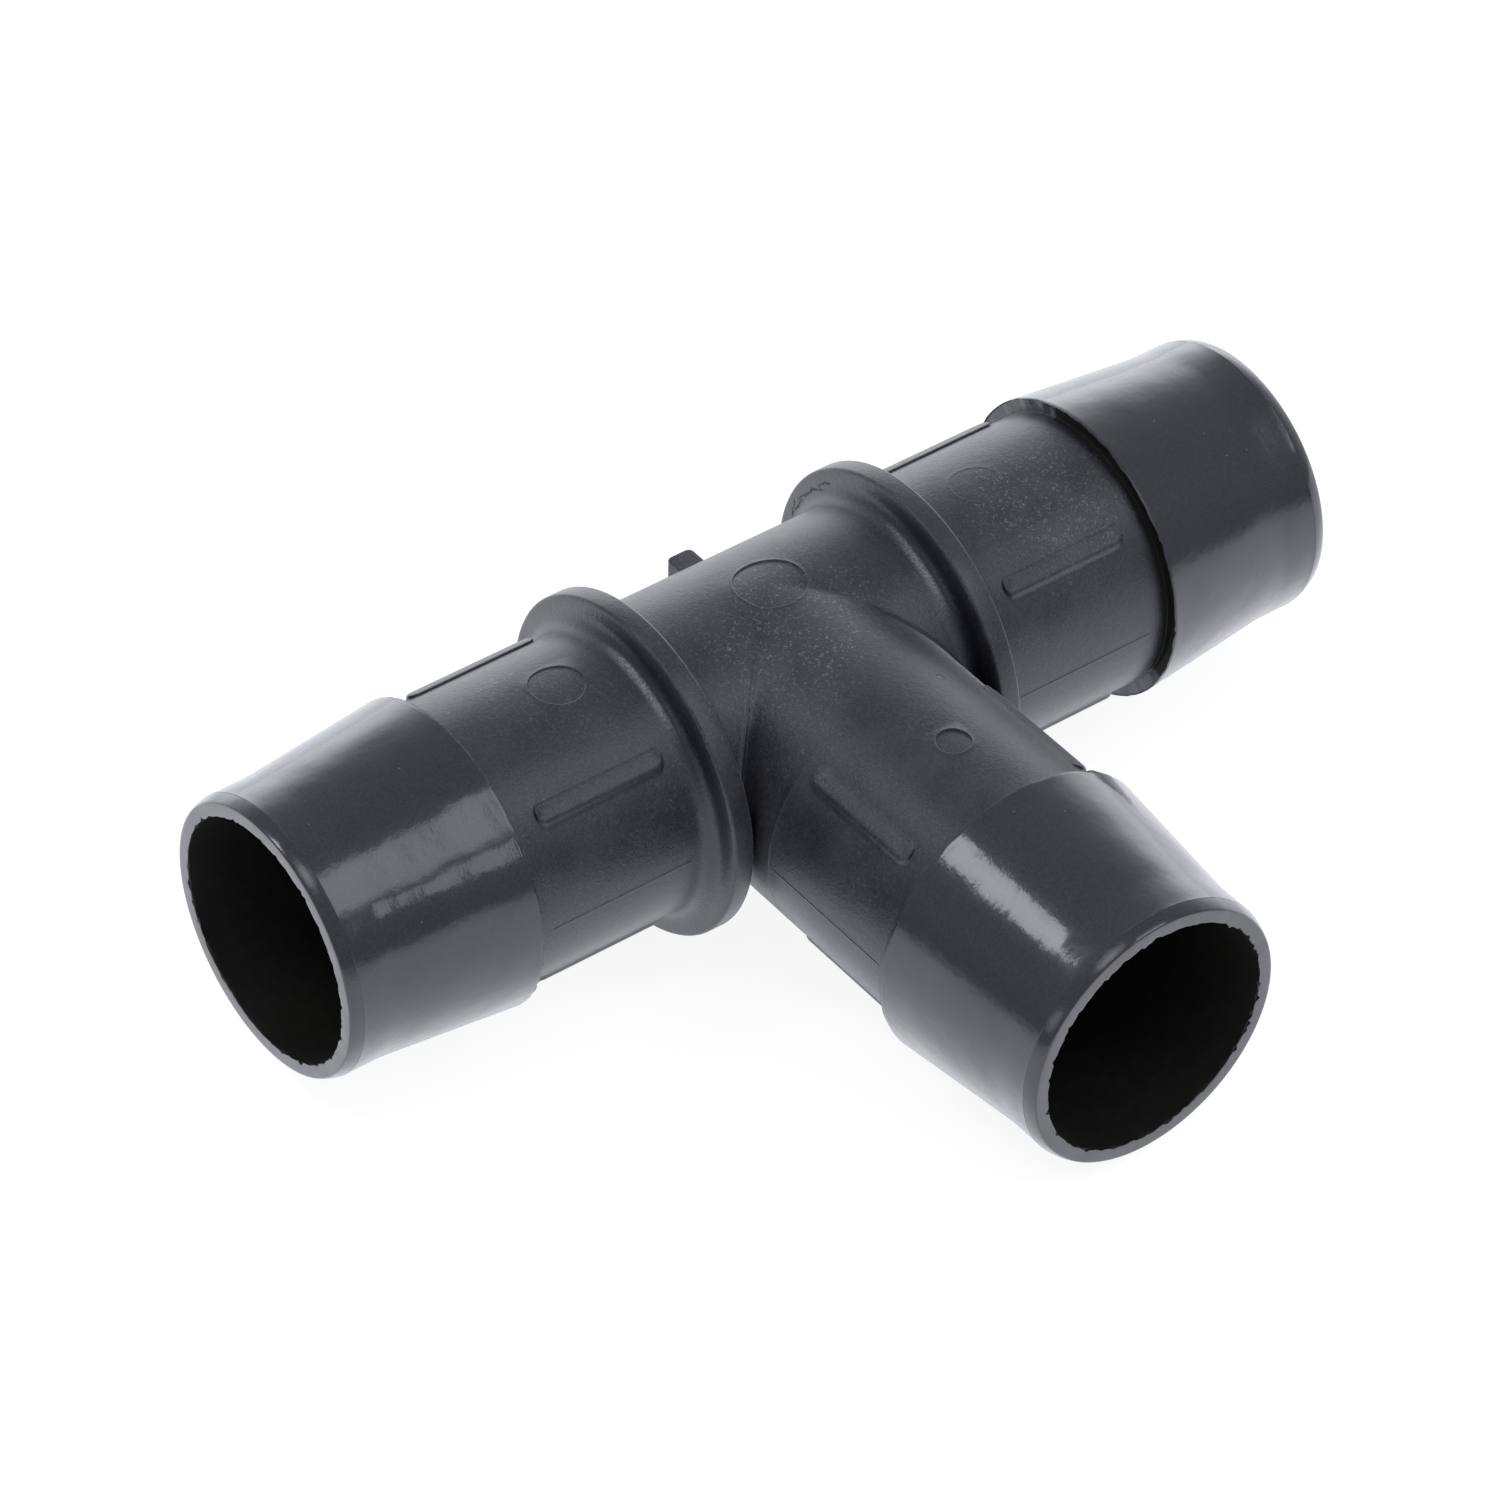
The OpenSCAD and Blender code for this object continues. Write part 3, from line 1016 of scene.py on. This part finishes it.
def gloss_material():
    m = Nodes("gloss_moulding")
    on_run = m.ramp(m.math("ABSOLUTE", m.axis("X")), 29 * MM, 30 * MM)
    round_branch = m.vector("MULTIPLY", m.place, (0.12, 1.0, 0.12))
    round_run = m.vector("MULTIPLY", m.place, (1.0, 0.12, 0.12))
    rings = m.node(
        "ShaderNodeMix", data_type="VECTOR",
        inputs={"Factor": on_run, 4: round_branch, 5: round_run},
    )
    turned = m.noise(0.5, 3.0, vector=rings.outputs[1], seed=4.0, roughness=0.65)
    swell = m.noise(2.6, 2.0, seed=6.0)
    cloud = m.noise(5.0, 3.0, seed=7.0)
    fine = m.noise(0.2, 1.0, seed=14.0)
    dots = m.node("ShaderNodeTexVoronoi", inputs={"Vector": m.place, "Scale": 1 / (2.4 * MM)})
    dot = m.ramp(dots.outputs["Distance"], 0.02, 0.04, 1.0, 0.0)
    tone = m.math("MULTIPLY_ADD", cloud, 0.006, 0.009)
    tone = m.math("MULTIPLY_ADD", m.ramp(fine, 0.3, 0.7), 0.017, tone)
    tone = m.math("MULTIPLY_ADD", dot, 0.12, tone)
    rough = m.math("MULTIPLY_ADD", cloud, 0.1, 0.18)
    normal = m.bump(m.noise(5.5, 1.0, seed=16.0), 0.3, 0.5)
    normal = m.bump(swell, 0.3, 0.13, normal)
    normal = m.bump(m.noise(0.8, 1.0, seed=15.0), 0.3, 0.03, normal)
    normal = m.bump(turned, 0.3, 0.02, normal)
    normal = m.bump(fine, 0.3, 0.0125, normal)
    m.sheen_and_coat(0.9, 0.3, 1.0, 0.07)
    return m.finish(m.grey(tone), rough, normal)


def bore_material():
    m = Nodes("bore_moulding")
    cloud = m.noise(2.6, 5.0, distortion=1.5, seed=9.0, roughness=0.65)
    fine = m.noise(0.3, 2.0, seed=10.0)
    tone = m.math("MULTIPLY_ADD", m.ramp(cloud, 0.45, 0.7), 0.006, 0.01)
    tone = m.math("MULTIPLY_ADD", fine, 0.005, tone)
    normal = m.bump(cloud, 0.3, 0.02)
    normal = m.bump(fine, 0.4, 0.02, normal)
    m.shader.inputs["IOR"].default_value = 1.4
    return m.finish(m.grey(tone, 0.85, 0.0), 0.55, normal)


for material in (matte_material(), gloss_material(), bore_material()):
    tee.data.materials.append(material)
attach(tee, "root")
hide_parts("tee")


def direction(azimuth, elevation):
    """Unit vector; azimuth 0 is towards -Y and 90 towards +X, in degrees."""
    a, e = math.radians(azimuth), math.radians(elevation)
    return Vector((math.sin(a) * math.cos(e), -math.cos(a) * math.cos(e), math.sin(e)))


# Camera fitted to the photograph's perspective: angles in degrees, lengths in millimetres
CAMERA_AZ = -38.28465
CAMERA_EL = 41.52249
CAMERA_ROLL = math.radians(1.52533)
CAMERA_DISTANCE = 599.6717
CAMERA_TX = 1.35680
CAMERA_TY = 4.37901
FOCAL_PX = 7297.5786
IMAGE_PX = 1500
SENSOR_MM = 36.0


def make_camera():
    back = direction(CAMERA_AZ, CAMERA_EL)
    level = direction(CAMERA_AZ + 90, 0)
    upright = back.cross(level)
    right = math.cos(CAMERA_ROLL) * level + math.sin(CAMERA_ROLL) * upright
    up = -math.sin(CAMERA_ROLL) * level + math.cos(CAMERA_ROLL) * upright
    eye = (back * CAMERA_DISTANCE - right * CAMERA_TX - up * CAMERA_TY) * MM
    data = bpy.data.cameras.new("camera")
    data.sensor_width = SENSOR_MM
    data.sensor_fit = "HORIZONTAL"
    data.lens = SENSOR_MM * FOCAL_PX / IMAGE_PX
    data.clip_start = 0.01
    data.clip_end = 10
    obj = bpy.data.objects.new("camera", data)
    obj.matrix_world = Matrix((
        (right.x, up.x, back.x, eye.x),
        (right.y, up.y, back.y, eye.y),
        (right.z, up.z, back.z, eye.z),
        (0, 0, 0, 1),
    ))
    bpy.context.scene.collection.objects.link(obj)
    bpy.context.scene.camera = obj


make_camera()
bpy.context.scene.view_settings.view_transform = "Standard"

BACKDROP_AZ = 142.0
TOWARDS_BACKDROP = tuple(direction(BACKDROP_AZ, 0))
LIGHT_TINT = (0.93, 0.952, 1.0)
WHITE = (1.0, 1.0, 1.0)
SKY = 0.4
HORIZON = 0.3
BACKDROP = 1.0


def make_world():
    """Dim studio with a white backdrop low behind the fitting; the camera and clear materials see white."""
    world = bpy.data.worlds.new("studio")
    bpy.context.scene.world = world
    world.use_nodes = True
    world.node_tree.nodes.clear()
    sky = Graph(world.node_tree)
    way = sky.node("ShaderNodeTexCoord").outputs["Generated"]
    height = sky.node("ShaderNodeSeparateXYZ", inputs={0: way}).outputs["Z"]
    low = sky.ramp(height, 0.72, 0.1)
    behind = sky.ramp(sky.vector("DOT_PRODUCT", way, TOWARDS_BACKDROP, out="Value"), 0.1, 0.7)
    drop = sky.math("MAXIMUM", sky.math("MULTIPLY", low, behind), sky.ramp(height, 0.0, -0.04))
    open_sky = sky.ramp(height, 0.0, 0.4, HORIZON, SKY)
    level = sky.math("MULTIPLY_ADD", drop, sky.math("SUBTRACT", BACKDROP, open_sky), open_sky)
    path = sky.node("ShaderNodeLightPath")
    clear = sky.math("MAXIMUM", path.outputs["Is Camera Ray"], path.outputs["Is Transmission Ray"])
    level = sky.math("MAXIMUM", level, clear)
    tint = sky.mix_colour(clear, (*LIGHT_TINT, 1.0), (*WHITE, 1.0))
    background = sky.node("ShaderNodeBackground", inputs={"Color": tint, "Strength": level})
    sky.node("ShaderNodeOutputWorld", inputs={"Surface": background.outputs[0]})


make_world()

LAMP_DISTANCE = 1.0


def softbox(name, azimuth, elevation, width, height, radiance, turn=0.0, soft=0.3, tint=LIGHT_TINT):
    """A rectangular lamp with soft borders; width and height are the angles it fills, in degrees."""
    data = bpy.data.lights.new(name, "AREA")
    data.shape = "RECTANGLE"
    data.size = 2 * LAMP_DISTANCE * math.tan(math.radians(width / 2))
    data.size_y = 2 * LAMP_DISTANCE * math.tan(math.radians(height / 2))
    data.energy = radiance * math.pi * data.size * data.size_y
    data.color = tint
    data.use_nodes = True
    lamp = Graph(data.node_tree)
    across = lamp.node("ShaderNodeNewGeometry").outputs["Parametric"]
    place = lamp.node("ShaderNodeSeparateXYZ", inputs={0: across})
    level = 1.0
    for side in ("X", "Y"):
        from_middle = lamp.math("ABSOLUTE", lamp.math("SUBTRACT", place.outputs[side], 0.5))
        level = lamp.math("MULTIPLY", level, lamp.ramp(from_middle, 0.5, 0.5 - soft))
    lamp.link(level, data.node_tree.nodes["Emission"].inputs["Strength"])
    obj = bpy.data.objects.new(name, data)
    way = direction(azimuth, elevation)
    obj.location = way * LAMP_DISTANCE
    aim = way.to_track_quat("Z", "Y")
    obj.rotation_euler = (aim.to_matrix() @ Matrix.Rotation(math.radians(turn), 3, "Z")).to_euler()
    bpy.context.scene.collection.objects.link(obj)


# Azimuth, elevation, width and height in degrees, then radiance and turn
softbox("right_softbox", 34, 52.6, 27.5, 35.5, 1.7, -30, soft=0.18)
softbox("right_small_softbox", 16, 30.3, 9.2, 15.6, 1.7, soft=0.22)
softbox("front_softbox", -52, 70, 34, 34, 2.0, soft=0.5)
softbox("left_softbox", -128.3, 54.2, 13.4, 18.2, 4.3, soft=0.12, tint=WHITE)
softbox("low_left_softbox", -85, 18, 30, 24, 0.9, soft=0.4)
softbox("back_softbox", BACKDROP_AZ, 6, 120, 60, 0.9, soft=0.5)

REST_TILT = math.atan2(COLLAR_R - BARB_R, SHOULDER_S)
FLOOR_HALF = 3.0
FLOOR_GAP = 0.00002
# Brightness of the floor as the camera sees it, and as the fitting mirrors it from near by
FLOOR_GLOW = 0.88
FLOOR_MIRRORED = 0.95


def make_floor():
    """Pale floor, laid against what the fitting rests on: both collars and the branch's barb."""
    mesh = bpy.data.meshes.new("floor")
    corners = [(FLOOR_HALF * x, FLOOR_HALF * y, 0) for x, y in ((-1, -1), (1, -1), (1, 1), (-1, 1))]
    mesh.from_pydata(corners, [], [(0, 1, 2, 3)])
    floor = bpy.data.objects.new("floor", mesh)
    floor.rotation_euler = (-REST_TILT, 0, 0)
    floor.location = (0, 0, -COLLAR_R * MM / math.cos(REST_TILT) - FLOOR_GAP)
    bpy.context.scene.collection.objects.link(floor)
    m = Nodes("pale_floor")
    m.tree.nodes.remove(m.shader)
    path = m.node("ShaderNodeLightPath")
    mirror = path.outputs["Is Glossy Ray"]
    away = m.vector("LENGTH", m.place, out="Value")
    near = m.ramp(away, 0.03, 0.5, FLOOR_MIRRORED, HORIZON)
    behind = m.vector("DOT_PRODUCT", m.place, TOWARDS_BACKDROP, out="Value")
    near = m.math("MAXIMUM", near, m.ramp(behind, 0.0, 0.1))
    level = m.math("MULTIPLY_ADD", mirror, m.math("SUBTRACT", near, FLOOR_GLOW), FLOOR_GLOW)
    tint = m.mix_colour(mirror, (*WHITE, 1.0), (*LIGHT_TINT, 1.0))
    glow = m.node("ShaderNodeEmission", inputs={"Color": tint, "Strength": level})
    shadowed = m.node("ShaderNodeBsdfDiffuse", inputs={"Color": (0.35, 0.35, 0.35, 1)})
    shown = m.node("ShaderNodeAddShader", inputs={0: shadowed.outputs[0], 1: glow.outputs[0]})
    lit = m.node("ShaderNodeBsdfDiffuse", inputs={"Color": (0.9, 0.9, 0.9, 1)})
    seen = m.math("MAXIMUM", path.outputs["Is Camera Ray"], mirror)
    seen = m.math("MAXIMUM", seen, path.outputs["Is Transmission Ray"])
    above = m.node("ShaderNodeMixShader", inputs={0: seen, 1: lit.outputs[0], 2: shown.outputs[0]})
    back = m.node("ShaderNodeNewGeometry").outputs["Backfacing"]
    clear = m.node("ShaderNodeBsdfTransparent").outputs[0]
    surface = m.node("ShaderNodeMixShader", inputs={0: back, 1: above.outputs[0], 2: clear})
    m.link(surface.outputs[0], m.tree.nodes["Material Output"].inputs["Surface"])
    floor.data.materials.append(m.material)


make_floor()
